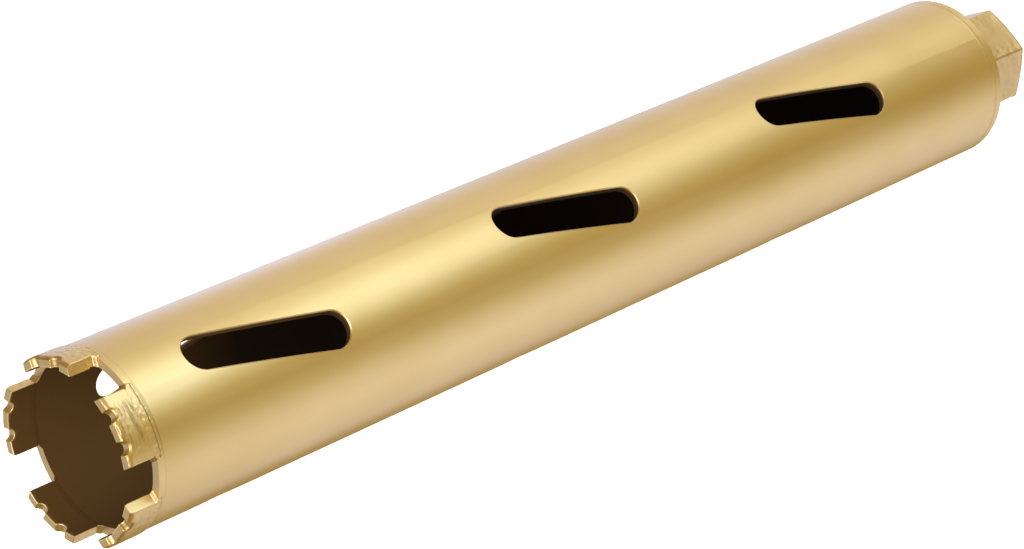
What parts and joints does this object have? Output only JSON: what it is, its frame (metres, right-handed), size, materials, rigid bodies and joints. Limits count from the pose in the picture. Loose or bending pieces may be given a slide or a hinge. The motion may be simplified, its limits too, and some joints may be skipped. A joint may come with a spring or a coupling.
{
  "type": "diamond core bit",
  "caption": "Dry diamond core bit: slotted steel barrel with a segmented crown, a back plate and a hexagonal hub with a spindle thread.",
  "frame": {"origin": "centre of the hub's seat face, where the drill's spindle shoulder bears", "axes": "+Z along the bit's axis from the hub to the crown; +X out through the middle of the first row of slots"},
  "size_m": [0.0528, 0.0525, 0.3934],
  "materials": {
    "lacquered_steel": "satin gold lacquer over steel tube and hexagon bar",
    "diamond_segment": "sintered metal and diamond, rough from dressing, under the same gold lacquer",
    "weld_metal": "lumpy weld bead under gold lacquer"
  },
  "bodies": {
    "root": {"barrel_tube": "lacquered_steel", "back_plate": "lacquered_steel", "plate_weld": "weld_metal", "hex_hub": "lacquered_steel", "hub_weld": "weld_metal", "segment_1": "diamond_segment", "segment_2": "diamond_segment", "segment_3": "diamond_segment", "segment_4": "diamond_segment", "segment_5": "diamond_segment", "weld_bead_1": "weld_metal", "weld_bead_2": "weld_metal", "weld_bead_3": "weld_metal", "weld_bead_4": "weld_metal", "weld_bead_5": "weld_metal"}
  },
  "joints": []
}
